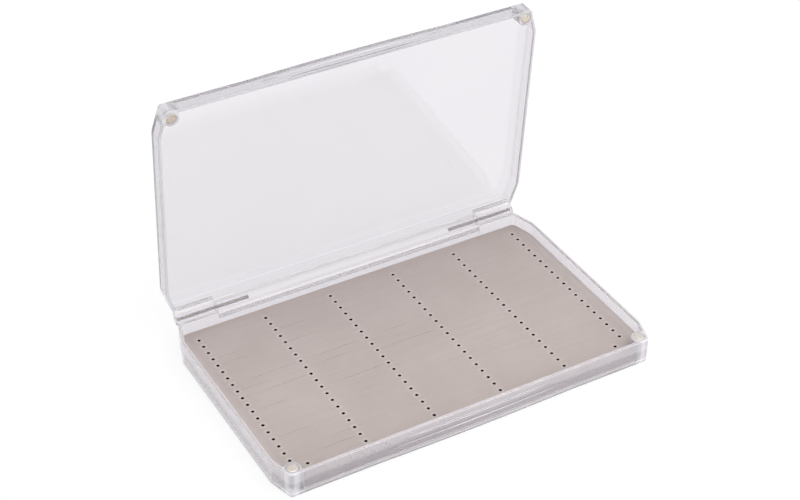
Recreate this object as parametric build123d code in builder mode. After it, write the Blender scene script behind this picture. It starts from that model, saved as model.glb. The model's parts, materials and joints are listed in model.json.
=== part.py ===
# A slim clear fly box with its lid standing open: two hinged shells, slit foam and corner magnets.
# Millimetres. +Z is up and +X runs along the hinge, with the hinge at the back (+Y).
# The origin is the middle of the base's underside.
import math
import os

from build123d import *

os.makedirs("parts", exist_ok=True)

# Outline of both shells, seen from above
body_width = 186.6
body_depth = 112.2
corner_run_x = 3.6  # the side walls lean in at their ends by this much
corner_run_y = 12.3  # over this length of the side
corner_radius = 2.0
shoulder_radius = 8.0
inner_corner_radius = 2.5

# Walls and heights
wall = 1.5
base_height = 12.9
floor_thickness = 1.8
lid_height = 7.5
plate_thickness = 1.5
parting_gap = 0.1
outer_round = 0.8
inner_round = 0.5
rim_round = 0.6

# Lid and hinge
open_angle = 85.5
hinge_setback = 3.0  # from the back walls to the hinge axis
barrel_radius = 2.7
knuckle_length = 19.5
knuckle_inset = 0.4  # from the end of the straight back wall to the knuckle's end
knuckle_gap = 0.3
web_slope = 1.4  # how much taller the web is at the wall than at the barrel
web_embed = 0.8
pin_diameter = 1.1
pin_length = 35.4
pin_recess = 0.5
pin_running_clearance = 0.05
pin_press_clearance = 0.015

# Magnets in the four front corners
boss_radius = 3.75
boss_blend = 0.6
boss_bore = 4.2  # open to the outside, up to the magnet's seat
bore_round = 0.3
magnet_diameter = 4.8
magnet_thickness = 1.8
magnet_recess = 0.1
magnet_clearance = 0.05

# Thumb lips, bowed outwards along the middle of the front walls, each with two small shelves
lip_chord = 95.0
lip_crest_chord = 73.0
lip_bow = 1.0  # at the ledge, the proudest line
lip_edge_bow = 0.6  # at the underside or the plate
lip_shelf_bow = 0.6  # on the crest's side of the ledge
lip_crest_bow = 0.4
lip_root_bow = 0.05
lip_shelf_rise = 0.2
base_lip_ledge = 6.1
base_lip_crest = 9.2  # height where the lip has run out
lid_lip_ledge = 3.2  # the same two heights on the lid, from its rim
lid_lip_crest = 0.9
lip_embed = 0.7

# Foam sheet and its adhesive
foam_thickness = 5.35
foam_clearance = 0.2
adhesive_thickness = 0.15
adhesive_margin = 3.0
hole_columns = 6
column_margin = 9.8  # from the side wall's outer face to the first column
row_pitch = 5.0
row_margin = 8.0  # the least distance from the outer faces to the first and last rows
hole_diameter = 1.4
hole_depth = 4.6
slit_width = 0.12
slit_depth = 4.0
boss_hole_gap = 5.5  # from a boss to the front hole that is moved beside it

# Places worked out from the sizes above
half_width = body_width / 2
half_depth = body_depth / 2
hinge_y = half_depth + hinge_setback
hinge_z = base_height + parting_gap / 2
knuckle_end = half_width - corner_run_x - knuckle_inset
barrel_end = knuckle_end - knuckle_length - knuckle_gap
pin_radius = pin_diameter / 2
seat_depth = magnet_recess + magnet_thickness
foam_bottom = floor_thickness + adhesive_thickness
foam_top = foam_bottom + foam_thickness

# A boss just touches the outer faces of the front wall and of the slanted corner wall
corner_pull = math.hypot(1 / corner_run_x, 1 / corner_run_y)
boss_from_side = corner_run_x * (1 + boss_radius * corner_pull - boss_radius / corner_run_y)
boss_x = half_width - boss_from_side
boss_y = boss_radius - half_depth
left_boss = (-boss_x, boss_y)
right_boss = (boss_x, boss_y)

base_hinge = Plane(origin=(0, hinge_y, hinge_z))

# The lid is drawn as if closed, on planes that are swung open about the hinge axis.
# The frame's origin is the middle of the lid's rim, and its z runs towards the lid's plate.
swing = math.radians(open_angle)
lid_hinge = Plane(
    origin=(0, hinge_y, hinge_z),
    x_dir=(1, 0, 0),
    z_dir=(0, math.sin(swing), math.cos(swing)),
)
lid_rim = Plane(
    origin=lid_hinge.from_local_coords(Vector(0, -hinge_y, parting_gap / 2)),
    x_dir=lid_hinge.x_dir,
    z_dir=lid_hinge.z_dir,
)


def box_outline(inset, corner):
    """The box outline as a sketch, drawn in by inset on every side, with rounded corners."""
    x_far = half_width - inset
    y_far = half_depth - inset
    # The slanted walls keep their thickness, so their ends move along the straight walls
    slant = math.hypot(corner_run_x, corner_run_y)
    x_near = half_width - corner_run_x - inset * (slant - corner_run_x) / corner_run_y
    y_near = half_depth - corner_run_y - inset * (slant - corner_run_y) / corner_run_x
    with BuildSketch() as outline:
        with BuildLine():
            Polyline(
                (x_near, y_far), (x_far, y_near), (x_far, -y_near), (x_near, -y_far),
                (-x_near, -y_far), (-x_far, -y_near), (-x_far, y_near), (-x_near, y_far),
                close=True,
            )
        make_face()
        shoulders = outline.vertices().filter_by_position(Axis.Y, -y_near, y_near)
        fillet(shoulders, shoulder_radius)
        corners = outline.vertices().filter_by(lambda vertex: abs(abs(vertex.Y) - y_far) < corner)
        fillet(corners, corner)
    return outline.sketch


def meets_boss(vertex):
    """True where a wall of the hollow runs into a boss."""
    from_boss = math.hypot(abs(vertex.X) - boss_x, vertex.Y - boss_y)
    return math.isclose(from_boss, boss_radius, abs_tol=0.01)


def cavity_outline():
    """Hollow of both shells: inside the walls and round the two magnet bosses."""
    with BuildSketch() as hollow:
        add(box_outline(wall, inner_corner_radius))
        with Locations(left_boss, right_boss):
            Circle(boss_radius, mode=Mode.SUBTRACT)
        fillet(hollow.vertices().filter_by(meets_boss), boss_blend)
    return hollow.sketch


def is_bore_edge(edge):
    """True for the rims of the bores behind the magnets."""
    return edge.geom_type == GeomType.CIRCLE and math.isclose(edge.radius, boss_bore / 2)


def lip_section(plane, chord, bow):
    """Slim section of a thumb lip: straight inside the front wall, an arc outside it."""
    with BuildSketch(plane) as section:
        with BuildLine():
            Polyline(
                (-chord / 2, -half_depth),
                (-chord / 2, lip_embed - half_depth),
                (chord / 2, lip_embed - half_depth),
                (chord / 2, -half_depth),
            )
            ThreePointArc((-chord / 2, -half_depth), (0, -half_depth - bow), (chord / 2, -half_depth))
        make_face()
    return section.sketch


def lip_steps(frame, edge, ledge, crest):
    """Sections of a thumb lip from its edge over the ledge to its crest, at heights in the frame."""
    rise = math.copysign(lip_shelf_rise, crest - ledge)
    return [
        lip_section(frame.offset(edge), lip_chord, lip_edge_bow),
        lip_section(frame.offset(ledge), lip_chord, lip_bow),
        lip_section(frame.offset(ledge + rise), lip_chord, lip_shelf_bow),
        lip_section(frame.offset(crest - rise), lip_crest_chord, lip_crest_bow),
        lip_section(frame.offset(crest), lip_crest_chord, lip_root_bow),
    ]


def hinge_section(x, frame):
    """Plane square to the hinge axis at x: its x runs backwards and its y towards the frame's top."""
    return Plane(
        origin=frame.from_local_coords(Vector(x, 0, 0)),
        x_dir=frame.y_dir,
        z_dir=frame.x_dir,
    )


def barrel_profile(web_side):
    """Round hinge barrel with a web to the back wall, on the web_side (+1 up, -1 down) of the axis."""
    web_end = -hinge_setback - web_embed
    seam = web_side * parting_gap / 2
    with BuildSketch() as profile:
        Circle(barrel_radius)
        with BuildLine():
            Polyline(
                (0, seam),
                (web_end, seam),
                (web_end, web_side * (barrel_radius + web_slope)),
                (0, web_side * barrel_radius),
                close=True,
            )
        make_face()
    return profile.sketch


# Base shell
with BuildPart() as base_shell:
    with BuildSketch():
        add(box_outline(0, corner_radius))
    extrude(amount=base_height)
    steps = lip_steps(Plane.XY, 0, base_lip_ledge, base_lip_crest)
    for lower, upper in zip(steps, steps[1:]):
        loft([lower, upper], ruled=True)
    fillet(base_shell.faces().sort_by(Axis.Z)[0].edges(), outer_round)
    with BuildSketch(Plane.XY.offset(floor_thickness)):
        add(cavity_outline())
    extrude(amount=base_height - floor_thickness, mode=Mode.SUBTRACT)
    fillet(base_shell.faces().filter_by(Axis.Z).sort_by(Axis.Z)[1].edges(), inner_round)
    fillet(base_shell.faces().sort_by(Axis.Z)[-1].edges(), rim_round)
    with BuildSketch(hinge_section(-barrel_end, base_hinge)):
        add(barrel_profile(-1))
    extrude(amount=2 * barrel_end)
    for side in (-1, 1):
        with BuildSketch(hinge_section(side * barrel_end, base_hinge)):
            Circle(pin_radius + pin_press_clearance)
        bore_length = pin_length + pin_recess - knuckle_length - knuckle_gap
        extrude(amount=-side * bore_length, mode=Mode.SUBTRACT)
    with BuildSketch(Plane.XY.offset(base_height)):
        with Locations(left_boss, right_boss):
            Circle(magnet_diameter / 2 + magnet_clearance)
    extrude(amount=-seat_depth, mode=Mode.SUBTRACT)
    with BuildSketch():
        with Locations(left_boss, right_boss):
            Circle(boss_bore / 2)
    extrude(amount=base_height - seat_depth, mode=Mode.SUBTRACT)
    fillet(base_shell.edges().filter_by(is_bore_edge).group_by(Axis.Z)[0], bore_round)
base_shell.part.label = "base_shell"
export_step(base_shell.part, "parts/base_shell.step")

# Lid shell
with BuildPart() as lid_shell:
    with BuildSketch(lid_rim):
        add(box_outline(0, corner_radius))
    extrude(amount=lid_height)
    steps = lip_steps(lid_rim, lid_height, lid_lip_ledge, lid_lip_crest)
    for upper, lower in zip(steps, steps[1:]):
        loft([lower, upper], ruled=True)
    across = Axis((0, 0, 0), lid_rim.z_dir)
    fillet(lid_shell.faces().sort_by(across)[-1].edges(), outer_round)
    with BuildSketch(lid_rim):
        add(cavity_outline())
    extrude(amount=lid_height - plate_thickness, mode=Mode.SUBTRACT)
    fillet(lid_shell.faces().filter_by(across).sort_by(across)[-2].edges(), inner_round)
    fillet(lid_shell.faces().sort_by(across)[0].edges(), rim_round)
    for side in (-1, 1):
        with BuildSketch(hinge_section(side * knuckle_end, lid_hinge)):
            add(barrel_profile(1))
            Circle(pin_radius + pin_running_clearance, mode=Mode.SUBTRACT)
        extrude(amount=-side * knuckle_length)
    with BuildSketch(lid_rim):
        with Locations(left_boss, right_boss):
            Circle(magnet_diameter / 2 + magnet_clearance)
    extrude(amount=seat_depth, mode=Mode.SUBTRACT)
    with BuildSketch(lid_rim.offset(lid_height)):
        with Locations(left_boss, right_boss):
            Circle(boss_bore / 2)
    extrude(amount=seat_depth - lid_height, mode=Mode.SUBTRACT)
    fillet(lid_shell.edges().filter_by(is_bore_edge).group_by(across)[-1], bore_round)
lid_shell.part.label = "lid_shell"
export_step(lid_shell.part, "parts/lid_shell.step")

# Hinge pins
for name, side in (("hinge_pin_left", -1), ("hinge_pin_right", 1)):
    with BuildPart() as hinge_pin:
        with BuildSketch(hinge_section(side * (knuckle_end - pin_recess), base_hinge)):
            Circle(pin_radius)
        extrude(amount=-side * pin_length)
    hinge_pin.part.label = name
    export_step(hinge_pin.part, f"parts/{name}.step")

# Corner magnets
magnet_seats = (
    ("base_magnet_left", Plane.XY.offset(base_height), left_boss, -1),
    ("base_magnet_right", Plane.XY.offset(base_height), right_boss, -1),
    ("lid_magnet_left", lid_rim, left_boss, 1),
    ("lid_magnet_right", lid_rim, right_boss, 1),
)
for name, rim, boss, inwards in magnet_seats:
    with BuildPart() as magnet:
        with BuildSketch(rim.offset(inwards * magnet_recess)):
            with Locations(boss):
                Circle(magnet_diameter / 2)
        extrude(amount=inwards * magnet_thickness)
    magnet.part.label = name
    export_step(magnet.part, f"parts/{name}.step")

# Adhesive sheet under the foam
with BuildPart() as foam_adhesive:
    with BuildSketch(Plane.XY.offset(floor_thickness)):
        add(box_outline(wall + adhesive_margin, corner_radius))
        with Locations(left_boss, right_boss):
            Circle(boss_radius + adhesive_margin, mode=Mode.SUBTRACT)
    extrude(amount=adhesive_thickness)
foam_adhesive.part.label = "foam_adhesive"
export_step(foam_adhesive.part, "parts/foam_adhesive.step")

# Hole pattern of the foam: columns across the width, rows from back to front
column_pitch = (body_width - 2 * column_margin) / (hole_columns - 1)
hole_rows = int((body_depth - 2 * row_margin) / row_pitch) + 1
first_row = (hole_rows - 1) * row_pitch / 2
first_column = -(hole_columns - 1) * column_pitch / 2
moved_hole_x = boss_x - boss_radius - boss_hole_gap


def hole_x(column, row):
    """Where a hole sits along its row: the front row's end holes stand beside the bosses."""
    x = first_column + column * column_pitch
    if row == hole_rows - 1:
        x = max(-moved_hole_x, min(moved_hole_x, x))
    return x


# Foam sheet
with BuildPart() as foam_insert:
    with BuildSketch(Plane.XY.offset(foam_bottom)):
        add(cavity_outline())
        offset(amount=-foam_clearance, mode=Mode.REPLACE)
    extrude(amount=foam_thickness)
    with BuildSketch(Plane.XY.offset(foam_top)):
        for row in range(hole_rows):
            y = first_row - row * row_pitch
            x_start = hole_x(0, row)
            x_end = hole_x(hole_columns - 1, row)
            with Locations(((x_start + x_end) / 2, y)):
                Rectangle(x_end - x_start, slit_width)
    extrude(amount=-slit_depth, mode=Mode.SUBTRACT)
    with BuildSketch(Plane.XY.offset(foam_top)):
        for row in range(hole_rows):
            for column in range(hole_columns):
                with Locations((hole_x(column, row), first_row - row * row_pitch)):
                    Circle(hole_diameter / 2)
    extrude(amount=-hole_depth, mode=Mode.SUBTRACT)
foam_insert.part.label = "foam_insert"
export_step(foam_insert.part, "parts/foam_insert.step")

closed_depth = lip_bow + body_depth + hinge_setback + barrel_radius
closed_height = base_height + parting_gap + lid_height
print(f"closed size {body_width:.1f} x {closed_depth:.1f} x {closed_height:.2f}")
print(f"foam top {foam_top:.2f}, boss at {boss_x:.2f}, {boss_y:.2f}, hole columns {column_pitch:.2f} apart")
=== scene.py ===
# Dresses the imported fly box: clear shells, slit foam, nickel magnets and steel hinge pins.
import json
import math

import bmesh
import bpy
from mathutils import Euler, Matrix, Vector, noise
from mathutils.geometry import delaunay_2d_cdt


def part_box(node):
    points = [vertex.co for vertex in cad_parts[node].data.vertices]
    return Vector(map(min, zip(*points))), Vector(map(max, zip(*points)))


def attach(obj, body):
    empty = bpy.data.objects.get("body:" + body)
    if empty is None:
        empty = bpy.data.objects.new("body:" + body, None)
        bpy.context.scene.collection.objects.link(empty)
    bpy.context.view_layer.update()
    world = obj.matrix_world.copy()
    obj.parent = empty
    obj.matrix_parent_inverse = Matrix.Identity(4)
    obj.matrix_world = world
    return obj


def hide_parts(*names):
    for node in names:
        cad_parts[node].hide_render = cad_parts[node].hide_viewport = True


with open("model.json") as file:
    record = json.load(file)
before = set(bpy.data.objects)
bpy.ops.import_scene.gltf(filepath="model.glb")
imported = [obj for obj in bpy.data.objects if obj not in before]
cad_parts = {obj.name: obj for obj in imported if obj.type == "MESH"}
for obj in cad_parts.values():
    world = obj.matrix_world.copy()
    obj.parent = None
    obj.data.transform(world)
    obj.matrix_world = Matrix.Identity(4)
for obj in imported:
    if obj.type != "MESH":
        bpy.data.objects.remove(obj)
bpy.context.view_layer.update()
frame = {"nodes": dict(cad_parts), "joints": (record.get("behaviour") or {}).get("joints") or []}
scene = bpy.context.scene
MM = 0.001  # millimetres to metres


def node_box(node):
    """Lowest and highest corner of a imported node, in millimetres."""
    low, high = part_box(node)
    return low / MM, high / MM


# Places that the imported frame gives: the hinge in metres, the rest in millimetres
HINGE_Y, HINGE_Z = frame["joints"][0]["pos_m"][1:]
LID_ANGLE = math.radians(-frame["joints"][0]["range_deg"][0])
LID_NORMAL = Vector((0, math.sin(LID_ANGLE), math.cos(LID_ANGLE)))
FOAM_LOW, FOAM_HIGH = node_box("foam_insert")
MAGNET_LOW, MAGNET_HIGH = node_box("base_magnet_right")
BOSS_X, BOSS_Y = (MAGNET_LOW + MAGNET_HIGH).xy / 2
RIM_Z = HINGE_Z  # height of the parting line when the box is shut


# Node helpers

def new_material(name):
    """A material with an empty node tree, its nodes and its links."""
    material = bpy.data.materials.new(name)
    material.use_nodes = True
    tree = material.node_tree
    tree.nodes.clear()
    return material, tree.nodes, tree.links


def add_node(nodes, kind, **values):
    """A new node; values name its settings and its input sockets, whose spaces are written as _."""
    node = nodes.new(kind)
    for key, value in values.items():
        if hasattr(node, key):
            setattr(node, key, value)
        else:
            sockets = [s for s in node.inputs if s.name.replace(" ", "_") == key]
            sockets[0].default_value = value
    return node


def feed(links, value, socket):
    """Gives a socket its value: another socket, a number or a plain colour."""
    if hasattr(value, "links"):
        links.new(value, socket)
    elif isinstance(value, (int, float)):
        socket.default_value = value
    else:
        socket.default_value = (*value, 1)


def ramp(nodes, links, factor, stops):
    """A colour ramp over factor, with stops as (place, colour)."""
    node = nodes.new("ShaderNodeValToRGB")
    elements = node.color_ramp.elements
    for index, (place, colour) in enumerate(stops):
        element = elements[index] if index < 2 else elements.new(place)
        element.position = place
        element.color = (*colour, 1)
    links.new(factor, node.inputs[0])
    return node.outputs["Color"]


def noise_of(nodes, links, vector, scale, detail=3.0, roughness=0.55, distortion=0.0):
    """Noise texture output in the object's own coordinates."""
    node = add_node(nodes, "ShaderNodeTexNoise", Scale=scale, Detail=detail, Roughness=roughness,
                    Distortion=distortion)
    links.new(vector, node.inputs["Vector"])
    return node.outputs["Fac"]


def spread(nodes, links, value, low, high, to_low, to_high):
    """Maps value from low..high to to_low..to_high, clamped."""
    node = add_node(nodes, "ShaderNodeMapRange", From_Min=low, From_Max=high, To_Min=to_low, To_Max=to_high)
    links.new(value, node.inputs["Value"])
    return node.outputs["Result"]


def blend_colours(nodes, links, factor, first, second, kind="MIX"):
    """Mix of two colours, each a socket or a plain colour."""
    node = nodes.new("ShaderNodeMix")
    node.data_type = "RGBA"
    node.blend_type = kind
    # The Mix node's sockets for colours are inputs 6 and 7 and output 2
    for socket, value in ((0, factor), (6, first), (7, second)):
        feed(links, value, node.inputs[socket])
    return node.outputs[2]


def math_of(nodes, links, operation, first, second=0.0):
    """Result of a Math node over two values, each a socket or a number."""
    node = add_node(nodes, "ShaderNodeMath", operation=operation)
    for socket, value in zip(node.inputs, (first, second)):
        feed(links, value, socket)
    return node.outputs[0]


def bump_of(nodes, links, height, strength, distance, under=None):
    """Bump from a height socket, over an earlier bump if one is given."""
    node = add_node(nodes, "ShaderNodeBump", Strength=strength, Distance=distance)
    links.new(height, node.inputs["Height"])
    if under is not None:
        links.new(under, node.inputs["Normal"])
    return node.outputs["Normal"]


def split(nodes, links, vector):
    """The x, y and z of a vector."""
    node = nodes.new("ShaderNodeSeparateXYZ")
    links.new(vector, node.inputs[0])
    return [node.outputs[axis] for axis in "XYZ"]


def mapped(nodes, links, vector, kind="POINT", **values):
    """A vector after a Mapping node."""
    node = add_node(nodes, "ShaderNodeMapping", vector_type=kind, **values)
    links.new(vector, node.inputs["Vector"])
    return node.outputs[0]


def object_place(nodes):
    """Place on the object, in metres."""
    return nodes.new("ShaderNodeTexCoord").outputs["Object"]


def mix_shaders(nodes, links, factor, first, second):
    """Mix of two shader nodes: the first at 0, the second at 1."""
    node = nodes.new("ShaderNodeMixShader")
    for socket, value in zip(node.inputs, (factor, first.outputs[0], second.outputs[0])):
        links.new(value, socket)
    return node.outputs[0]


def finish_material(nodes, links, shader):
    """The material's output node, with its surface set."""
    output = nodes.new("ShaderNodeOutputMaterial")
    links.new(shader, output.inputs["Surface"])
    return output


# The shells' clear plastic. Its places are those of the shut box, in metres unless a line says millimetres.
# Where a name holds two numbers for one mask, the mask blends between them.

PLASTIC_IOR = 1.57
PLASTIC_DEPTH_COLOUR, PLASTIC_DENSITY = (0.62, 0.6, 0.68, 1), 4.0  # what light takes on inside the plastic
BASE_TINTS = ((0.85, 0.825, 0.865), (0.87, 0.845, 0.88))
# Painted shade: the lid is the same plastic as the base, its tints a little darker
LID_SHADED_TINTS = ((0.834, 0.815, 0.848), (0.853, 0.834, 0.863))
TINT_STOPS = (0.3, 0.7)
# Painted highlight and shade: the base's rims are coloured paler, as a light line, and the lid's darker, as a
# dark line
BASE_RIM_PAINTED_LIGHT, LID_RIM_PAINTED_SHADE = (0.9, 0.85, 0.865), (0.76, 0.745, 0.78)
BACK_PAINTED_LIGHT = (0.96, 0.94, 0.96)  # painted light: near white on the rims and webs along the hinge, where little light reaches

# Haze is the share of light that a surface scatters instead of passing
INNER_HAZE, RIM_HAZE, LEDGE_HAZE, CREST_HAZE = 0.04, 0.45, 0.5, 0.5
BASE_SLANT_HAZE, LID_SLANT_HAZE = 0.24, 0.1  # what walls seen at a slant gain
# Haze of the outer walls by height in mm: a pale foot line where the wall meets the plate, clearer beside the
# foam, milkier above it, and clearest on the lid
WALL_HAZE = [(0.0, 0.08), (1.2, 0.08), (1.6, 0.4), (2.3, 0.4), (2.7, 0.06), (6.8, 0.08), (7.8, 0.2),
             (12.8, 0.2), (13.0, 0.08), (20.5, 0.08)]
# Haze that walls gain by distance from a boss's middle, in mm
BOSS_SIDE = [(0.0, 0.36), (3.8, 0.36), (4.1, 0.17), (4.7, 0.17), (5.4, 0.0)]
# Haze of the bosses' tops by distance from their middles, in mm: clear round the magnet, pale at the edge
BASE_BOSS_TOP = [(0.0, 0.5), (3.15, 0.5), (3.4, 0.85), (3.85, 0.85), (4.2, RIM_HAZE)]
LID_BOSS_TOP = [(0.0, 0.4), (3.15, 0.4), (3.4, 0.5), (3.85, 0.5), (4.2, RIM_HAZE)]
CLOUDS = (0.93, 1.07)  # soft unevenness of all haze

BASE_PLATE_ROUGHNESS, LID_PLATE_ROUGHNESS = 0.025, 0.05
WALL_ROUGHNESS, RIM_ROUGHNESS = 0.12, 0.28
WEB_ROUGHNESS = 0.8  # of the matt side of each hinge barrel, where it joins its wall
SMUDGE_ROUGHNESS = 0.03  # what handling adds in patches

SHARP = 0.0001  # width of a mask's crisp edge
FRONT_FACE_Y, BACK_FACE_Y = -0.0563, 0.0563  # only the lips lie before these, only the hinge barrels behind
WALL_TILT = (0.15, 0.5)  # upward part of a face's direction: a wall below the first, none above the second
OUTWARD = (0.0, 0.01)  # a face's direction times its place: outer faces are above these
SLANT = (0.3, 0.6)  # how far a face turns from the viewer before it counts as seen at a slant
RIM_BAND = (0.00062, 0.00078)  # half the height of the rims' band round the parting line
BACK_RIM_Y = (0.0525, 0.0535)  # where the back wall's rim begins
BOSS_EDGE = (0.0039, 0.0042)  # radius of a boss
CREST_Z = 0.0091  # where the base's lip runs out into the wall
CREST_BAND = (0.0003, 0.0006)  # half the height of that line
CREST_ENDS = (0.0275, 0.0355)  # where it fades out, to the left and right
CREST_DEPTH = (FRONT_FACE_Y, FRONT_FACE_Y + 0.001)
LIP_FOOT = (0.001, 0.002)  # height from which the lips have their satin ledges
WEB_RADIUS = (0.0015, 0.0018)  # from the hinge's axis: between the pin's bore and the barrel's skin
WEB_SIDE = (0.0003, 0.0008)  # from the hinge's height towards the barrel's own half


def make_clear_plastic(name, angle, tints, plate_roughness, boss_top, rim_painted_tone, slant_haze):
    """Clear plastic: polished plates, walls milky with handling outside, satin rims where the halves meet,
    with painted highlight and shade on the rims and painted light on the hinge's rims and webs.

    angle is how far a shell turns about the hinge to its place in the shut box.
    """
    material, nodes, links = new_material(name)
    place = object_place(nodes)

    def calc(operation, first, second=0.0):
        return math_of(nodes, links, operation, first, second)

    def product(first, *others):
        for other in others:
            first = calc("MULTIPLY", first, other)
        return first

    def total(first, *others):
        for other in others:
            first = calc("ADD", first, other)
        return first

    def mask(value, span, below=0.0, above=1.0):
        """below where value is under the span, above where it is over it, and a blend between."""
        return spread(nodes, links, value, *span, below, above)

    def distance(first, second):
        return calc("SQRT", total(product(first, first), product(second, second)))

    def profile(value, stops):
        """Haze by stops of (millimetres, haze)."""
        reach = stops[-1][0]
        share = mask(value, (0.0, reach * MM))
        return ramp(nodes, links, share, [(stop / reach, (haze, haze, haze)) for stop, haze in stops])

    # Place and direction of the surface in the shut box
    c, s = math.cos(angle), math.sin(angle)
    shift = (0, HINGE_Y - c * HINGE_Y + s * HINGE_Z, HINGE_Z - s * HINGE_Y - c * HINGE_Z)
    x, y, z = split(nodes, links, mapped(nodes, links, place, Rotation=(angle, 0, 0), Location=shift))
    direction = nodes.new("ShaderNodeTexCoord").outputs["Normal"]
    direction = mapped(nodes, links, direction, "NORMAL", Rotation=(angle, 0, 0))
    normal_x, normal_y, normal_z = split(nodes, links, direction)
    side_x = calc("ABSOLUTE", x)

    # Walls, and what their outer faces gain
    off_hinge = mask(y, (BACK_FACE_Y, BACK_FACE_Y + SHARP), 1.0, 0.0)
    wall = product(mask(calc("ABSOLUTE", normal_z), WALL_TILT, 1.0, 0.0), off_hinge)
    outside = mask(total(product(normal_x, x), product(normal_y, y)), OUTWARD)
    slanting = add_node(nodes, "ShaderNodeLayerWeight", Blend=0.5).outputs["Facing"]
    crest = mask(calc("ABSOLUTE", calc("SUBTRACT", z, CREST_Z)), CREST_BAND, CREST_HAZE, 0.0)
    crest = product(crest, mask(side_x, CREST_ENDS, 1.0, 0.0), mask(y, CREST_DEPTH, 1.0, 0.0))
    outer = total(profile(z, WALL_HAZE), mask(slanting, SLANT, 0.0, slant_haze), crest)
    outer = total(product(outer, outside), INNER_HAZE)

    # Rims, bosses and the lips' ledges
    rim = product(off_hinge, mask(calc("ABSOLUTE", calc("SUBTRACT", z, RIM_Z)), RIM_BAND, 1.0, 0.0))
    back_rim = product(rim, mask(y, BACK_RIM_Y))
    from_boss = distance(calc("SUBTRACT", side_x, BOSS_X * MM), calc("SUBTRACT", y, BOSS_Y * MM))
    boss = product(wall, profile(from_boss, BOSS_SIDE))
    lip = product(mask(y, (FRONT_FACE_Y - SHARP, FRONT_FACE_Y), 1.0, 0.0), mask(z, LIP_FOOT))
    ledge = product(lip, calc("SUBTRACT", 1.0, wall))

    # Webs that join the hinge barrels to their walls
    hinge_y, hinge_z = calc("SUBTRACT", y, HINGE_Y), calc("SUBTRACT", z, HINGE_Z)
    web = product(calc("SUBTRACT", 1.0, off_hinge), mask(distance(hinge_y, hinge_z), WEB_RADIUS))
    web = product(web, mask(product(hinge_z, 1.0 if angle else -1.0), WEB_SIDE))

    shader = add_node(nodes, "ShaderNodeBsdfPrincipled", IOR=PLASTIC_IOR)
    colour = ramp(nodes, links, noise_of(nodes, links, place, 14.0, 2.0), list(zip(TINT_STOPS, tints)))
    # Rims away from the bosses: a painted highlight on the base, painted shade on the lid
    colour = blend_colours(nodes, links, product(rim, mask(from_boss, BOSS_EDGE)), colour, rim_painted_tone)
    # Painted light: the back rims and the hinge webs turn near white
    colour = blend_colours(nodes, links, total(back_rim, web), colour, BACK_PAINTED_LIGHT)
    links.new(colour, shader.inputs["Base Color"])

    haze = total(product(wall, outer), boss, product(rim, profile(from_boss, boss_top)),
                 product(ledge, LEDGE_HAZE))
    cloud = mask(noise_of(nodes, links, place, 90.0, 3.0), (0.3, 0.7), *CLOUDS)
    links.new(calc("SUBTRACT", 1.0, product(haze, cloud)), shader.inputs["Transmission Weight"])

    smudge = mask(noise_of(nodes, links, place, 55.0, 5.0, 0.6, 0.4), (0.45, 0.8), 0.0, SMUDGE_ROUGHNESS)
    rough = total(mask(wall, (0.0, 1.0), plate_roughness, WALL_ROUGHNESS), smudge,
                  product(web, WEB_ROUGHNESS), product(rim, RIM_ROUGHNESS))
    links.new(rough, shader.inputs["Roughness"])

    output = finish_material(nodes, links, shader.outputs[0])
    body = add_node(nodes, "ShaderNodeVolumeAbsorption", Color=PLASTIC_DEPTH_COLOUR, Density=PLASTIC_DENSITY)
    links.new(body.outputs[0], output.inputs["Volume"])
    return material


# The other materials

FOAM_SHADES = ((0.525, 0.452, 0.43), (0.56, 0.49, 0.467))
FOAM_STREAK = (0.48, 0.415, 0.393)
# Painted shade in the hollows of the pores
FOAM_PORE_SHADE = (0.4, 0.343, 0.323)
FOAM_RING_PALE = (0.64, 0.575, 0.55)  # paler rings round the holes
FOAM_SIDE_PAINTED_LIGHT, FOAM_PAINTED_LIGHT_REACH = (0.72, 0.65, 0.625), 0.006  # painted light: paler towards the left and right walls, standing in for light through them; reach in metres
# Painted shade: the cuts' walls and bottoms are coloured near black
CUT_PAINTED_SHADES = ((0.02, 0.013, 0.011), (0.045, 0.03, 0.025))
# One nickel for all four magnets, in a lit copy for the base and a darker, browner painted-shade copy for the
# lid
LIT_NICKEL = ((0.9, 0.81, 0.71), (0.97, 0.9, 0.805), (1.0, 0.965, 0.885))
SHADED_NICKEL = ((0.62, 0.54, 0.455), (0.73, 0.645, 0.555), (0.84, 0.76, 0.67))
STEEL_SHADES = ((0.27, 0.232, 0.2), (0.35, 0.308, 0.268))
STEEL_SCRATCH = (0.45, 0.4, 0.352)
FILM_SHADES = ((0.78, 0.75, 0.745), (0.86, 0.835, 0.83))


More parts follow.
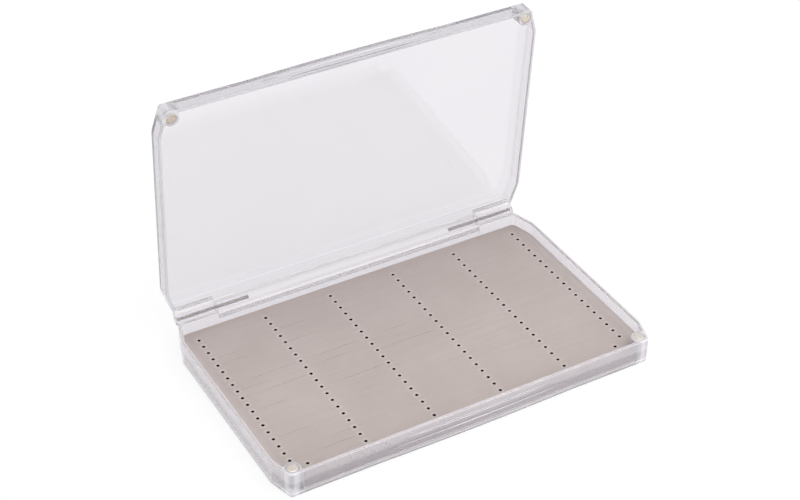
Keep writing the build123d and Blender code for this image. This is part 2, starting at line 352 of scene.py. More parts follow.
def make_foam():
    """Closed-cell foam with fine pores darkened by painted shade, faint skiving streaks, soft mottling and
    painted light towards the side walls.
    """
    material, nodes, links = new_material("foam")
    place = object_place(nodes)
    shader = add_node(nodes, "ShaderNodeBsdfPrincipled", Roughness=0.93, Specular_IOR_Level=0.25,
                      Sheen_Weight=0.12, Sheen_Roughness=0.5)
    broad = noise_of(nodes, links, place, 38.0, 3.0)
    colour = ramp(nodes, links, broad, list(zip((0.3, 0.7), FOAM_SHADES)))
    streaks = noise_of(nodes, links, mapped(nodes, links, place, Scale=(0.05, 1.0, 1.0)), 620.0, 3.0)
    streaked = spread(nodes, links, streaks, 0.35, 0.75, 0.0, 0.4)
    colour = blend_colours(nodes, links, streaked, colour, FOAM_STREAK)
    pores = add_node(nodes, "ShaderNodeTexVoronoi", Scale=2600.0)
    links.new(place, pores.inputs["Vector"])
    from_pore = pores.outputs["Distance"]
    # Painted shade: darker towards each pore's middle, where its hollow is deepest
    pore_shade = spread(nodes, links, from_pore, 0.05, 0.35, 0.22, 0.0)
    colour = blend_colours(nodes, links, pore_shade, colour, FOAM_PORE_SHADE)
    halo = add_node(nodes, "ShaderNodeAttribute", attribute_name="halo").outputs["Fac"]
    pale_ring = spread(nodes, links, halo, 0.0, 1.0, 0.0, 0.75)
    colour = blend_colours(nodes, links, pale_ring, colour, FOAM_RING_PALE)
    # Painted light: the colour turns paler within a few millimetres of the left and right walls
    side_x = math_of(nodes, links, "ABSOLUTE", split(nodes, links, place)[0])
    from_side = math_of(nodes, links, "SUBTRACT", FOAM_HIGH.x * MM, side_x)
    side_painted_light = spread(nodes, links, from_side, 0.0, FOAM_PAINTED_LIGHT_REACH, 1.0, 0.0)
    side_painted_light = math_of(nodes, links, "MULTIPLY", math_of(nodes, links, "POWER", side_painted_light, 1.6), 0.9)
    colour = blend_colours(nodes, links, side_painted_light, colour, FOAM_SIDE_PAINTED_LIGHT)
    links.new(colour, shader.inputs["Base Color"])
    pore_depth = spread(nodes, links, from_pore, 0.0, 0.5, 0.0, 1.0)
    grain = bump_of(nodes, links, pore_depth, 0.35, 0.00012)
    links.new(bump_of(nodes, links, streaks, 0.12, 0.0002, grain), shader.inputs["Normal"])
    finish_material(nodes, links, shader.outputs[0])
    return material


def make_foam_cut():
    """Inside of the punched holes and slits: the same foam, painted near black as painted shade for the deep,
    narrow cuts.
    """
    material, nodes, links = new_material("foam_cut")
    place = object_place(nodes)
    shader = add_node(nodes, "ShaderNodeBsdfPrincipled", Roughness=0.97, Specular_IOR_Level=0.15)
    mottle = noise_of(nodes, links, place, 900.0, 3.0)
    colour = ramp(nodes, links, mottle, list(zip((0.3, 0.7), CUT_PAINTED_SHADES)))
    links.new(colour, shader.inputs["Base Color"])
    links.new(bump_of(nodes, links, mottle, 0.4, 0.0002), shader.inputs["Normal"])
    finish_material(nodes, links, shader.outputs[0])
    return material


def make_nickel(name, shades):
    """Nickel plating with a warm cast, from dull patches to worn bright ones in three shades."""
    material, nodes, links = new_material(name)
    place = object_place(nodes)
    shader = add_node(nodes, "ShaderNodeBsdfPrincipled", Metallic=1.0)
    patches = noise_of(nodes, links, place, 1500.0, 3.0)
    colour = ramp(nodes, links, patches, list(zip((0.38, 0.5, 0.64), shades)))
    links.new(colour, shader.inputs["Base Color"])
    links.new(spread(nodes, links, patches, 0.3, 0.75, 0.3, 0.45), shader.inputs["Roughness"])
    links.new(bump_of(nodes, links, patches, 0.25, 0.0001), shader.inputs["Normal"])
    finish_material(nodes, links, shader.outputs[0])
    return material


def make_pin_steel():
    """Drawn steel wire with fine lengthwise scratches and darker oxide patches."""
    material, nodes, links = new_material("pin_steel")
    place = object_place(nodes)
    shader = add_node(nodes, "ShaderNodeBsdfPrincipled", Metallic=1.0, Anisotropic=0.4)
    scratches = noise_of(nodes, links, mapped(nodes, links, place, Scale=(0.04, 1.0, 1.0)), 5200.0, 4.0)
    oxide = noise_of(nodes, links, place, 260.0, 3.0)
    colour = ramp(nodes, links, oxide, list(zip((0.35, 0.7), STEEL_SHADES)))
    scratched = spread(nodes, links, scratches, 0.4, 0.7, 0.0, 0.35)
    colour = blend_colours(nodes, links, scratched, colour, STEEL_SCRATCH)
    links.new(colour, shader.inputs["Base Color"])
    links.new(spread(nodes, links, scratches, 0.3, 0.7, 0.1, 0.25), shader.inputs["Roughness"])
    links.new(bump_of(nodes, links, scratches, 0.2, 0.00004), shader.inputs["Normal"])
    finish_material(nodes, links, shader.outputs[0])
    return material


def make_adhesive():
    """Double-sided film: milky, slightly wrinkled, with small trapped air patches."""
    material, nodes, links = new_material("adhesive_film")
    place = object_place(nodes)
    shader = add_node(nodes, "ShaderNodeBsdfPrincipled", Specular_IOR_Level=0.4)
    patches = noise_of(nodes, links, place, 120.0, 5.0, 0.6, 0.6)
    colour = ramp(nodes, links, patches, list(zip((0.42, 0.62), FILM_SHADES)))
    links.new(colour, shader.inputs["Base Color"])
    links.new(spread(nodes, links, patches, 0.4, 0.7, 0.35, 0.6), shader.inputs["Roughness"])
    links.new(bump_of(nodes, links, patches, 0.2, 0.0002), shader.inputs["Normal"])
    finish_material(nodes, links, shader.outputs[0])
    return material


# Mesh helpers, in millimetres

SHARP_EDGE = math.radians(40)


def make_piece(name, vertices, faces, materials, body, replaced, smooth=True):
    """A piece from plain lists: faces are (vertex indices, material index), places in millimetres."""
    mesh = bpy.data.meshes.new(name)
    mesh.from_pydata([Vector(v) * MM for v in vertices], [], [f for f, _ in faces])
    for material in materials:
        mesh.materials.append(material)
    for polygon, (_, index) in zip(mesh.polygons, faces):
        polygon.material_index = index
        polygon.use_smooth = smooth
    mesh.update()
    if smooth:
        mesh.set_sharp_from_angle(angle=SHARP_EDGE)
    piece = bpy.data.objects.new(name, mesh)
    scene.collection.objects.link(piece)
    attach(piece, body)
    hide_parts(replaced)
    return piece


def rounded(points, radii, step=0.35):
    """Closed outline through points with each corner rounded by its radius, in steps along the arc."""
    outline = []
    count = len(points)
    for i, (point, radius) in enumerate(zip(points, radii)):
        here = Vector(point)
        before = (Vector(points[i - 1]) - here).normalized()
        after = (Vector(points[(i + 1) % count]) - here).normalized()
        half = before.angle(after) / 2
        cut = radius / math.tan(half)
        centre = here + (before + after).normalized() * (radius / math.sin(half))
        start, end = here + before * cut - centre, here + after * cut - centre
        turn = start.angle_signed(end)
        pieces = max(2, int(abs(turn) * radius / step))
        for k in range(pieces + 1):
            angle = -turn * k / pieces
            c, s = math.cos(angle), math.sin(angle)
            outline.append(centre + Vector((c * start.x - s * start.y, s * start.x + c * start.y)))
    return outline


def within(x, y, line):
    """Whether a place lies inside a closed line of (x, y)."""
    odd = False
    for a, b in zip(line, line[1:] + line[:1]):
        if (a[1] > y) != (b[1] > y) and x < (b[0] - a[0]) * (y - a[1]) / (b[1] - a[1]) + a[0]:
            odd = not odd
    return odd


# The foam pad, in millimetres. In the noise calls the factors set the size of the waves, and the plain
# numbers pick a place in the noise.

FOAM_BOTTOM = FOAM_LOW.z + 0.02  # just clear of the adhesive sheet
FOAM_TOP = FOAM_HIGH.z
HALF_WIDTH, HALF_DEPTH = FOAM_HIGH.x, FOAM_HIGH.y
CORNER_X, CORNER_Y = HALF_WIDTH - 3.18, HALF_DEPTH - 10.89  # where the slanted corners begin
BOSS_CUT = 3.95  # radius of the cut round each boss
ARC_STEPS, ARC_START = 720, 31  # steps of half a turn that seek the cut's end, and the first that may be it
ARC_POINTS = 26
# Roundings of the outline: along the cuts round the bosses, at their ends, and at the slanted corners' ends
CUT_RADIUS, CUT_END_RADIUS, SIDE_RADIUS, BACK_RADIUS = 0.02, 0.9, 7.0, 2.4
EDGE_LONGEST, EDGE_SHORTEST = 3.0, 0.04  # segments of the outline

ROW_PITCH = 5.0
COLUMN_X = [-83.5 + 33.4 * column for column in range(6)]
ROW_Y = [47.5 - ROW_PITCH * row for row in range(20)]
FRONT_END_X = 77.64  # the front row's end holes stand beside the bosses
HOLE_RADIUS, HOLE_UNEVEN = 0.72, 0.07
HOLE_DEPTH = FOAM_TOP - FOAM_BOTTOM - 0.75
HOLE_POINTS = 20  # round half a hole
HOLE_NEAR = 4  # no point farther than this feels a hole
CUT_LEVELS = ((0.35, 0.92), (HOLE_DEPTH, 0.8))  # depth of a cut's walls and their width against the top's
CUT_REACH = 0.9  # no cut reaches farther from its row

SLIT_STEP = 1.2
SLIT_SHUT, SLIT_GAPE, SLIT_RAGGED = 0.004, 0.085, 0.016  # half widths: shut, gaping and ragged
SLIT_SHY, SLIT_FADE = 0.1, 0.0022  # noise under which a slit stays shut, and its rise to the right
SLIT_STRAY, SLIT_STRAY_FADE = 0.3, 3.0  # how far slits stray, and how far from a hole they come to it

WAVE_HEIGHT, RIPPLE_HEIGHT = 0.09, 0.03
WAVE_DROP = 0.06  # keeps most of the waves under the foam's full height
RING_RADIUS, RING_WIDTH, RING_HEIGHT = 1.25, 0.42, 0.06  # raised ring round each hole
PUCKER_WIDTH, PUCKER_DEPTH, PUCKER_REACH = 0.26, 0.1, 3.2  # dip at each hole's edge
HALO_RADIUS, HALO_WIDTH = 1.3, 0.42  # pale ring round each hole
HALO_DEPTH = 0.5  # only vertices that are this close to the foam's full height carry it

# Points that carry the top's shape: rings of (radius, number) round each hole, and a grid between them
POINT_RINGS = ((0.98, 20), (1.3, 20), (1.75, 18), (2.3, 14))
RING_TO_FRONT, RING_TO_SLIT = 0.3, 0.22  # the least distances of ring points
GRID_PITCH, GRID_SHIFT_X, GRID_SHIFT_Y = 2.0, 0.3, 0.5
GRID_COLUMNS, GRID_ROWS = range(-45, 46), range(-26, 27)
GRID_TO_SIDE, GRID_TO_END, GRID_TO_ROW, GRID_TO_CUT, GRID_TO_HOLE = 1.5, 1.2, 0.6, 1, 2.7
EDGE_STRIP = 6  # width along the outline in which faces are tested against it

# Depth and outward reach of the sides: a softened top edge, a very slight bulge and the underside
SIDE_LEVELS = ((0.10, 0.0), (0.32, 0.10), (1.2, 0.12), (2.6, 0.14), (4.2, 0.12),
               (FOAM_TOP - FOAM_BOTTOM, 0.02))
SIDE_BULGE, SIDE_WOBBLE, TOP_INSET = 0.14, 0.03, 0.12


def hole_centres(row):
    """x of the holes of one row."""
    if row < len(ROW_Y) - 1:
        return COLUMN_X
    return [max(-FRONT_END_X, min(FRONT_END_X, x)) for x in COLUMN_X]


HOLES = [[(x, ROW_Y[row]) for x in hole_centres(row)] for row in range(len(ROW_Y))]


def near_holes(x, y):
    """Holes of the three rows nearest to a place, if they are near it."""
    nearest_row = round((ROW_Y[0] - y) / ROW_PITCH)
    return [hole for row in (nearest_row - 1, nearest_row, nearest_row + 1)
            if 0 <= row < len(HOLES) for hole in HOLES[row] if abs(hole[0] - x) < HOLE_NEAR]


def boss_arc(side):
    """Cut round a boss, from the front wall to the slanted wall; side is 1 on the right, -1 on the left."""
    def arc_place(angle):
        return BOSS_X + BOSS_CUT * math.cos(angle), BOSS_Y + BOSS_CUT * math.sin(angle)

    reach = math.sqrt(BOSS_CUT**2 - (BOSS_Y + HALF_DEPTH)**2)
    first = math.atan2(-HALF_DEPTH - BOSS_Y, -reach)
    slant = Vector((HALF_WIDTH - CORNER_X, HALF_DEPTH - CORNER_Y)).normalized()
    for k in range(ARC_START, ARC_STEPS):
        last = first - math.pi * k / ARC_STEPS
        x, y = arc_place(last)
        if x > HALF_WIDTH - max(0.0, -CORNER_Y - y) * slant.x / slant.y - 1e-6:
            break
    places = [arc_place(first + (last - first) * k / ARC_POINTS) for k in range(ARC_POINTS + 1)]
    return [(side * x, y) for x, y in places]


def foam_outline():
    """Outer line of the foam, anticlockwise, with a round cut for each boss."""
    right, left = boss_arc(1), boss_arc(-1)
    points = right + [(HALF_WIDTH, -CORNER_Y), (HALF_WIDTH, CORNER_Y), (CORNER_X, HALF_DEPTH),
                      (-CORNER_X, HALF_DEPTH), (-HALF_WIDTH, CORNER_Y), (-HALF_WIDTH, -CORNER_Y)] + left[::-1]
    arc_radii = [CUT_END_RADIUS] + [CUT_RADIUS] * (len(right) - 2) + [CUT_END_RADIUS]
    side_radii = [SIDE_RADIUS] * 2
    line = rounded(points, arc_radii + side_radii + [BACK_RADIUS] * 2 + side_radii + arc_radii)
    dense = []
    for here, there in zip(line, line[1:] + line[:1]):
        dense.append(here)
        pieces = int((there - here).length / EDGE_LONGEST)
        for k in range(1, pieces):
            dense.append(here.lerp(there, k / pieces))
    thinned = [dense[0]]
    for point in dense[1:]:
        if (point - thinned[-1]).length > EDGE_SHORTEST:
            thinned.append(point)
    return thinned


def slit_half_width(x, row):
    """Half the opening of a slit: shut, but gaping a little in a few stretches."""
    gape = noise.noise(Vector((x * 0.05, row * 7.3, 1.7)))
    fine = noise.noise(Vector((x * 0.3, row * 3.1, 8.2)))
    shy = SLIT_SHY + SLIT_FADE * (x - COLUMN_X[0])
    return SLIT_SHUT + max(0.0, SLIT_GAPE * (gape - shy) + SLIT_RAGGED * fine)


def slit_wander(x, row, start, end):
    """How far a slit strays from its row between the holes at start and end."""
    fade = min(1.0, (x - start) / SLIT_STRAY_FADE, (end - x) / SLIT_STRAY_FADE)
    return SLIT_STRAY * max(0.0, fade) * noise.noise(Vector((x * 0.16, row * 5.9, 3.3)))


def row_cuts(row):
    """One row's cuts, holes joined by slits, left to right: (x, middle, half width) of each cut."""
    centres = hole_centres(row)
    cuts = []
    for i, x in enumerate(centres):
        radius = HOLE_RADIUS * (1 + HOLE_UNEVEN * noise.noise(Vector((x, ROW_Y[row], 4.4))))
        for k in range(HOLE_POINTS + 1):
            angle = math.pi * (1 - k / HOLE_POINTS)
            cuts.append((x + radius * math.cos(angle), 0.0, max(SLIT_SHUT, radius * math.sin(angle))))
        if i + 1 < len(centres):
            start, end = x + radius, centres[i + 1] - radius
            pieces = int((end - start) / SLIT_STEP)
            for k in range(1, pieces):
                px = start + (end - start) * k / pieces
                cuts.append((px, slit_wander(px, row, start, end), slit_half_width(px, row)))
    first, last = cuts[0], cuts[-1]
    return [(first[0], 0.0, 0.0)] + cuts[1:-1] + [(last[0], 0.0, 0.0)]


def in_cut(x, y, rows):
    """Whether a place lies in a hole or slit of the rows of cuts."""
    row = round((ROW_Y[0] - y) / ROW_PITCH)
    if not 0 <= row < len(rows):
        return False
    cuts, offset = rows[row], y - ROW_Y[row]
    if abs(offset) > CUT_REACH or x < cuts[0][0] or x > cuts[-1][0]:
        return False
    for (ax, am, ah), (bx, bm, bh) in zip(cuts, cuts[1:]):
        if ax <= x <= bx and bx > ax:
            share = (x - ax) / (bx - ax)
            return abs(offset - am - (bm - am) * share) < ah + (bh - ah) * share
    return False


def surface_height(x, y):
    """Height of the top over the foam's full height, never above it: slow waves and puckers at the holes."""
    wave = WAVE_HEIGHT * noise.noise(Vector((x * 0.02, y * 0.03, 0.3)))
    wave += RIPPLE_HEIGHT * noise.noise(Vector((x * 0.11, y * 0.13, 5.0)))
    height = wave - WAVE_DROP
    distance = math.sqrt(min(((x - hx)**2 + (y - hy)**2 for hx, hy in near_holes(x, y)), default=99))
    if distance < PUCKER_REACH:
        ring = math.exp(-((distance - RING_RADIUS) / RING_WIDTH)**2)
        pucker = math.exp(-((distance - HOLE_RADIUS) / PUCKER_WIDTH)**2)
        height += RING_HEIGHT * ring - PUCKER_DEPTH * pucker
    return min(height, 0.0)


def ring_points():
    """Points in rings round the holes, off the slits and the front edge."""
    points = []
    for hx, hy in (hole for line in HOLES for hole in line):
        for radius, count in POINT_RINGS:
            if hy - radius < -HALF_DEPTH + RING_TO_FRONT:
                continue
            for k in range(count):
                angle = 2 * math.pi * (k + 0.5 * (radius > 1)) / count
                x, y = hx + radius * math.cos(angle), hy + radius * math.sin(angle)
                if abs(y - hy) > RING_TO_SLIT:
                    points.append(Vector((x, y)))
    return points


def grid_points():
    """Points of a grid over the rest of the top, off the rows, the holes, the bosses and the edges."""
    points = []
    for i in GRID_COLUMNS:
        for j in GRID_ROWS:
            x, y = i * GRID_PITCH + GRID_SHIFT_X, j * GRID_PITCH + GRID_SHIFT_Y
            row = (ROW_Y[0] - y) / ROW_PITCH
            past_rows = not (-0.5 < row < len(ROW_Y) - 0.5)
            off_rows = past_rows or abs(row - round(row)) * ROW_PITCH > GRID_TO_ROW
            slanted = (abs(y) - CORNER_Y) * (HALF_WIDTH - CORNER_X) / (HALF_DEPTH - CORNER_Y)
            off_side = abs(x) < HALF_WIDTH - GRID_TO_SIDE - max(0, slanted)
            off_end = abs(y) < HALF_DEPTH - GRID_TO_END
            off_boss = math.hypot(abs(x) - BOSS_X, y - BOSS_Y) > BOSS_CUT + GRID_TO_CUT
            off_holes = all(math.hypot(x - hx, y - hy) >= GRID_TO_HOLE for hx, hy in near_holes(x, y))
            if off_rows and off_side and off_end and off_boss and off_holes:
                points.append(Vector((x, y)))
    return points


def foam_top(outline, rows):
    """The foam's top with its cuts left out: its vertices and faces, the vertices of the outline, and one
    (y of the row, vertices round its cuts, how many of them lie on the upper side) for each row."""
    points, edges = [], []

    def add_loop(line):
        first = len(points)
        points.extend(Vector(p) for p in line)
        edges.extend((first + k, first + (k + 1) % len(line)) for k in range(len(line)))
        return range(first, first + len(line))

    add_loop(outline)
    loops = []
    for y, cuts in zip(ROW_Y, rows):
        top = [(x, y + middle + half) for x, middle, half in cuts]
        bottom = [(x, y + middle - half) for x, middle, half in cuts[1:-1]][::-1]
        loops.append((y, add_loop(top + bottom), len(top)))
    points += ring_points() + grid_points()
    verts, _, tris, originals, _, _ = delaunay_2d_cdt(points, edges, [], 0, 1e-5)
    where = {old: new for new, olds in enumerate(originals) for old in olds}

    outline_pairs = [(p.x, p.y) for p in outline]
    vertices = [(v.x, v.y, FOAM_TOP + surface_height(v.x, v.y)) for v in verts]
    faces = []
    for tri in tris:
        x = sum(verts[i].x for i in tri) / 3
        y = sum(verts[i].y for i in tri) / 3
        by_edge = abs(x) > HALF_WIDTH - EDGE_STRIP or abs(y) > HALF_DEPTH - EDGE_STRIP
        if not in_cut(x, y, rows) and (not by_edge or within(x, y, outline_pairs)):
            faces.append((tuple(tri), 0))
    rings = [(y, [where[k] for k in loop], top_count) for y, loop, top_count in loops]
    return vertices, faces, [where[k] for k in range(len(outline))], rings


def add_cut_walls(vertices, faces, y, ring, top_count):
    """Walls and bottom of one row's cuts: lines of vertices below the ring, closed by ladders of faces."""
    count = len(ring)
    upper = ring
    for depth, pinch in CUT_LEVELS:
        start = len(vertices)
        for k in ring:
            x, ring_y, _ = vertices[k]
            vertices.append((x, y + (ring_y - y) * pinch, FOAM_TOP - depth))
        lower = [start + k for k in range(count)]
        for k in range(count):
            n = (k + 1) % count
            faces.append(((upper[k], upper[n], lower[n], lower[k]), 1))
        upper = lower
    # The bottom joins the two sides of the lowest ring
    for k in range(top_count - 1):
        a, b = lower[k], lower[k + 1]
        c = lower[(count - k - 1) % count] if k + 1 < top_count - 1 else b
        d = lower[(count - k) % count] if k else a
        quad = [a, b] + [i for i in (c, d) if i not in (a, b)]
        if len(quad) >= 3:
            faces.append((tuple(quad), 1))


def add_sides(vertices, faces, outline, edge):
    """Sides and underside of the foam below the vertices of its edge."""
    count = len(outline)
    inward = []
    for k in range(count):
        tangent = (outline[(k + 1) % count] - outline[k - 1]).normalized()
        inward.append(Vector((-tangent.y, tangent.x)))
    for k, index in enumerate(edge):
        x, y, z = vertices[index]
        vertices[index] = (x + inward[k].x * TOP_INSET, y + inward[k].y * TOP_INSET, z)
    upper = edge
    for depth, out in SIDE_LEVELS:
        start = len(vertices)
        for here, way in zip(outline, inward):
            wobble = SIDE_WOBBLE * noise.noise(Vector((here.x * 0.2, here.y * 0.2, depth)))
            shift = SIDE_BULGE - out + wobble
            vertices.append((here.x + way.x * shift, here.y + way.y * shift, FOAM_TOP - depth))
        lower = [start + k for k in range(count)]
        for k in range(count):
            n = (k + 1) % count
            faces.append(((upper[k], lower[k], lower[n], upper[n]), 0))
        upper = lower
    faces.append((tuple(reversed(upper)), 0))


def build_foam():
    """Foam sheet with its holes and slits, and a vertex attribute for the pale rings round the holes."""
    outline = foam_outline()
    rows = [row_cuts(row) for row in range(len(ROW_Y))]
    vertices, faces, edge, rings = foam_top(outline, rows)
    for y, ring, top_count in rings:
        add_cut_walls(vertices, faces, y, ring, top_count)
    add_sides(vertices, faces, outline, edge)

    used = sorted({i for f, _ in faces for i in f})
    order = {old: new for new, old in enumerate(used)}
    vertices = [vertices[old] for old in used]
    faces = [(tuple(order[i] for i in f), m) for f, m in faces]
    materials = (make_foam(), make_foam_cut())
    piece = make_piece("foam_pad", vertices, faces, materials, "base", "foam_insert")
    mesh = bmesh.new()
    mesh.from_mesh(piece.data)
    bmesh.ops.recalc_face_normals(mesh, faces=mesh.faces)
    mesh.to_mesh(piece.data)
    mesh.free()
    piece.data.set_sharp_from_angle(angle=SHARP_EDGE)

    halo = piece.data.attributes.new("halo", "FLOAT", "POINT")
    for vertex, value in zip(piece.data.vertices, halo.data):
        x, y, z = vertex.co / MM
        near = min((math.hypot(x - hx, y - hy) for hx, hy in near_holes(x, y)), default=9.0)
        pale_ring = math.exp(-((near - HALO_RADIUS) / HALO_WIDTH)**2)
        value.value = pale_ring if z > FOAM_TOP - HALO_DEPTH else 0.0


# Turned pieces, in millimetres: magnets and pins

DISC_RADIUS, DISC_THICKNESS, DISC_BEVEL, DISC_POINTS = 2.4, 1.8, 0.36, 48
PIN_RADIUS, PIN_BEADS, PIN_POINTS = 0.48, 8, 28
PIN_END = [(0.2, 0.0), (0.37, 0.05), (0.46, 0.16), (PIN_RADIUS, 0.3)]  # radius and distance from the end


def turned(profile, count, centre, along):
    """Vertices and faces of a profile of (radius, distance), turned about a line through centre."""
    along = Vector(along).normalized()
    side = along.orthogonal().normalized()
    other = along.cross(side)
    vertices, faces = [], []
    for radius, distance in profile:
        for k in range(count):
            angle = 2 * math.pi * k / count
            place = Vector(centre) + along * distance
            place += (side * math.cos(angle) + other * math.sin(angle)) * radius
            vertices.append(tuple(place))
    for i in range(len(profile) - 1):
        for k in range(count):
            n = (k + 1) % count
            faces.append(((i * count + k, i * count + n, (i + 1) * count + n, (i + 1) * count + k), 0))
    faces.append((tuple(range(count))[::-1], 0))
    last = (len(profile) - 1) * count
    faces.append((tuple(last + k for k in range(count)), 0))
    return vertices, faces


def bevelled_disc(radius, thickness, bevel):
    """Profile of a disc with faintly dished faces and bevelled, slightly rounded rims."""
    flat = radius - bevel
    profile = [(flat * 0.3, 0.03), (flat * 0.7, 0.02), (flat - 0.05, 0.0), (flat, 0.015)]
    profile += [(radius - 0.07, bevel * 0.8), (radius, bevel), (radius, thickness / 2)]
    return profile + [(r, thickness - d) for r, d in reversed(profile[:-1])]


def build_magnets():
    """Four disc magnets of one nickel: a lit copy in the base and a painted-shade copy in the lid."""
    nickel = {"base": make_nickel("bright_nickel", LIT_NICKEL),
              "lid": make_nickel("tanned_nickel", SHADED_NICKEL)}
    profile = bevelled_disc(DISC_RADIUS, DISC_THICKNESS, DISC_BEVEL)
    for node in ("base_magnet_left", "base_magnet_right", "lid_magnet_left", "lid_magnet_right"):
        low, high = node_box(node)
        body = node.split("_")[0]
        along = Vector((0, 0, 1)) if body == "base" else LID_NORMAL
        start = (low + high) / 2 - along * (DISC_THICKNESS / 2)
        vertices, faces = turned(profile, DISC_POINTS, start, along)
        name = node.replace("magnet", "disc_magnet")
        make_piece(name, vertices, faces, (nickel[body],), body, node)


def build_pins():
    """Two hinge pins with rounded ends."""
    steel = make_pin_steel()
    for node in ("hinge_pin_left", "hinge_pin_right"):
        low, high = node_box(node)
        length = high.x - low.x
        _, y, z = (low + high) / 2
        middle = [(PIN_RADIUS, length * k / PIN_BEADS) for k in range(1, PIN_BEADS)]
        profile = PIN_END + middle + [(r, length - d) for r, d in reversed(PIN_END)]
        vertices, faces = turned(profile, PIN_POINTS, (low.x, y, z), (1, 0, 0))
        name = node.replace("hinge_pin", "hinge_wire")
        make_piece(name, vertices, faces, (steel,), "base", node)


# The adhesive sheet, in millimetres

ADHESIVE_INSET = 3.0  # in from the foam's outline
ADHESIVE_RADIUS = 2.0  # of its corners
BOSS_CORNERS = ((9.5, 0), (2.5, 6))  # of its cut round each boss: in from the boss and up from the front edge
ADHESIVE_GRIP = 0.01  # the film wets the plate, so no air shows between them
ADHESIVE_GAP = 0.02  # under the foam
ADHESIVE_DRIFT = 0.004  # share by which its edge wanders


def build_adhesive():
    """Film under the foam, with a slightly wandering edge."""
    width, depth = HALF_WIDTH - ADHESIVE_INSET, HALF_DEPTH - ADHESIVE_INSET
    front = [(BOSS_X - inward, -depth + up) for inward, up in BOSS_CORNERS]
    right = [(width, -CORNER_Y), (width, CORNER_Y), (CORNER_X - ADHESIVE_INSET, depth)]
    corners = right + [(-x, y) for x, y in reversed(front + right)] + front
    line = rounded(corners, [ADHESIVE_RADIUS] * len(corners))
    vertices, count = [], len(line)
    low, high = node_box("foam_adhesive")
    for z in (low.z - ADHESIVE_GRIP, high.z - ADHESIVE_GAP):
        for p in line:
            drift = 1 + ADHESIVE_DRIFT * noise.noise(Vector((p.x * 0.15, p.y * 0.15, 2.0)))
            vertices.append((p.x * drift, p.y * drift, z))
    faces = [(tuple(range(count))[::-1], 0), (tuple(range(count, 2 * count)), 0)]
    for k in range(count):
        n = (k + 1) % count
        faces.append(((k, n, count + n, count + k), 0))
    make_piece("adhesive_sheet", vertices, faces, (make_adhesive(),), "base", "foam_adhesive",
               smooth=False)


# Dress the shells and build the other pieces

shells = (
    ("base_shell", 0.0, BASE_TINTS, BASE_PLATE_ROUGHNESS, BASE_BOSS_TOP, BASE_RIM_PAINTED_LIGHT, BASE_SLANT_HAZE),
    ("lid_shell", LID_ANGLE, LID_SHADED_TINTS, LID_PLATE_ROUGHNESS, LID_BOSS_TOP, LID_RIM_PAINTED_SHADE, LID_SLANT_HAZE),
)
for node, *looks in shells:
    plastic = make_clear_plastic(node.replace("shell", "plastic"), *looks)
    for slot in frame["nodes"][node].material_slots:
        slot.material = plastic

build_foam()
build_adhesive()
build_magnets()
build_pins()


# Camera, matched to the photograph's view

CAMERA_PLACE = (-0.316486, -0.537051, 0.518661)
CAMERA_TURN = (53.55146, -0.367337, -29.690307)  # degrees
CAMERA_LENS, CAMERA_SENSOR = 80.497, 36.0  # millimetres

camera_data = bpy.data.cameras.new("camera")
camera_data.sensor_width = CAMERA_SENSOR
camera_data.lens = CAMERA_LENS
camera_data.clip_start, camera_data.clip_end = 0.01, 100.0
camera = bpy.data.objects.new("camera", camera_data)
camera.location = CAMERA_PLACE
camera.rotation_euler = Euler([math.radians(v) for v in CAMERA_TURN], "XYZ")
scene.collection.objects.link(camera)
scene.camera = camera


# Floor and world

FLOOR_REACH, FLOOR_DROP = 30.0, -0.00005  # metres; the drop keeps the floor off the box's underside
FLOOR_WHITE, FLOOR_SHOWN, FLOOR_GLOW = 0.82, 0.2, 0.82
ROOM_STOPS = [(0.0, (1, 1, 1)), (0.55, (1, 1, 1)), (0.7, (0.9, 0.9, 0.91)), (0.84, (1.05, 1.05, 1.05)),
              (0.92, (1.1, 1.1, 1.1))]  # from straight down to straight up
FRONT_LIGHT, BACK_LIGHT = (1.72, 1.72, 1.72), (0.65, 0.65, 0.65)  # times the room's light
FRONT_SPAN, BACK_SPAN = (-0.7, 0.1), (0.1, 0.6)  # y of a direction where these fade out and in
DIM_TOWARDS, DIM_COLOUR = (-0.4, -0.7, 0.59), (0.37, 0.36, 0.38)  # a dim patch in the room
DIM_SPAN = (0.9, 0.955)  # from its edge to its full dimness


def seen_ray(nodes, links):
    """1 for camera, glossy and transmission rays."""
    rays = nodes.new("ShaderNodeLightPath").outputs
    either = math_of(nodes, links, "MAXIMUM", rays["Is Camera Ray"], rays["Is Glossy Ray"])
    return math_of(nodes, links, "MAXIMUM", either, rays["Is Transmission Ray"])


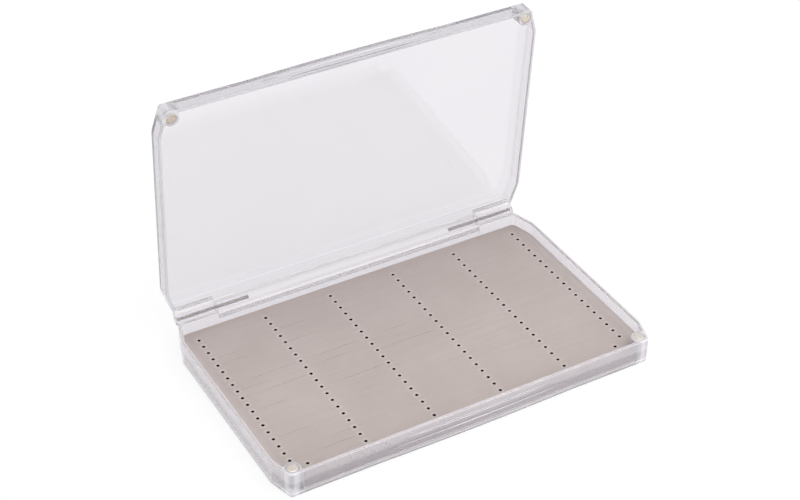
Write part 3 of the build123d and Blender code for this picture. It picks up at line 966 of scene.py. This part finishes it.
def make_floor():
    """White floor: it shows evenly white, and lights the box as plain white paint would."""
    mesh = bpy.data.meshes.new("floor")
    signs = ((-1, -1), (1, -1), (1, 1), (-1, 1))
    mesh.from_pydata([(x * FLOOR_REACH, y * FLOOR_REACH, FLOOR_DROP) for x, y in signs], [], [(0, 1, 2, 3)])
    floor = bpy.data.objects.new("floor", mesh)
    scene.collection.objects.link(floor)
    material, nodes, links = new_material("floor_white")
    plain = add_node(nodes, "ShaderNodeBsdfDiffuse", Color=(FLOOR_WHITE, FLOOR_WHITE, FLOOR_WHITE, 1))
    shown = add_node(nodes, "ShaderNodeBsdfDiffuse", Color=(FLOOR_SHOWN, FLOOR_SHOWN, FLOOR_SHOWN, 1))
    glow = add_node(nodes, "ShaderNodeEmission", Color=(1, 1, 1, 1), Strength=FLOOR_GLOW)
    both = nodes.new("ShaderNodeAddShader")
    links.new(shown.outputs[0], both.inputs[0])
    links.new(glow.outputs[0], both.inputs[1])
    surface = mix_shaders(nodes, links, seen_ray(nodes, links), plain, both)
    finish_material(nodes, links, surface)
    mesh.materials.append(material)


def make_world():
    """Pale room: brighter in front of the box than behind it, with one dim patch; the camera sees white."""
    world = bpy.data.worlds.new("world")
    scene.world = world
    world.use_nodes = True
    nodes, links = world.node_tree.nodes, world.node_tree.links
    nodes.clear()
    direction = nodes.new("ShaderNodeTexCoord").outputs["Generated"]
    _, y, z = split(nodes, links, direction)
    room = ramp(nodes, links, spread(nodes, links, z, -1.0, 1.0, 0.0, 1.0), ROOM_STOPS)
    before = spread(nodes, links, y, *FRONT_SPAN, 1.0, 0.0)
    room = blend_colours(nodes, links, before, room, FRONT_LIGHT, "MULTIPLY")
    behind = spread(nodes, links, y, *BACK_SPAN, 0.0, 1.0)
    room = blend_colours(nodes, links, behind, room, BACK_LIGHT, "MULTIPLY")
    toward = add_node(nodes, "ShaderNodeVectorMath", operation="DOT_PRODUCT")
    toward.inputs[1].default_value = DIM_TOWARDS
    links.new(direction, toward.inputs[0])
    dim = spread(nodes, links, toward.outputs["Value"], *DIM_SPAN, 0.0, 1.0)
    room = blend_colours(nodes, links, dim, room, DIM_COLOUR)
    lit = add_node(nodes, "ShaderNodeBackground", Strength=1.0)
    links.new(room, lit.inputs["Color"])
    white = add_node(nodes, "ShaderNodeBackground", Color=(1, 1, 1, 1), Strength=1.0)
    seen = nodes.new("ShaderNodeLightPath").outputs["Is Camera Ray"]
    output = nodes.new("ShaderNodeOutputWorld")
    links.new(mix_shaders(nodes, links, seen, lit, white), output.inputs["Surface"])


make_floor()
make_world()

scene.view_settings.view_transform = "Standard"
scene.cycles.max_bounces = 64
scene.cycles.transmission_bounces = 64
scene.cycles.glossy_bounces = 64
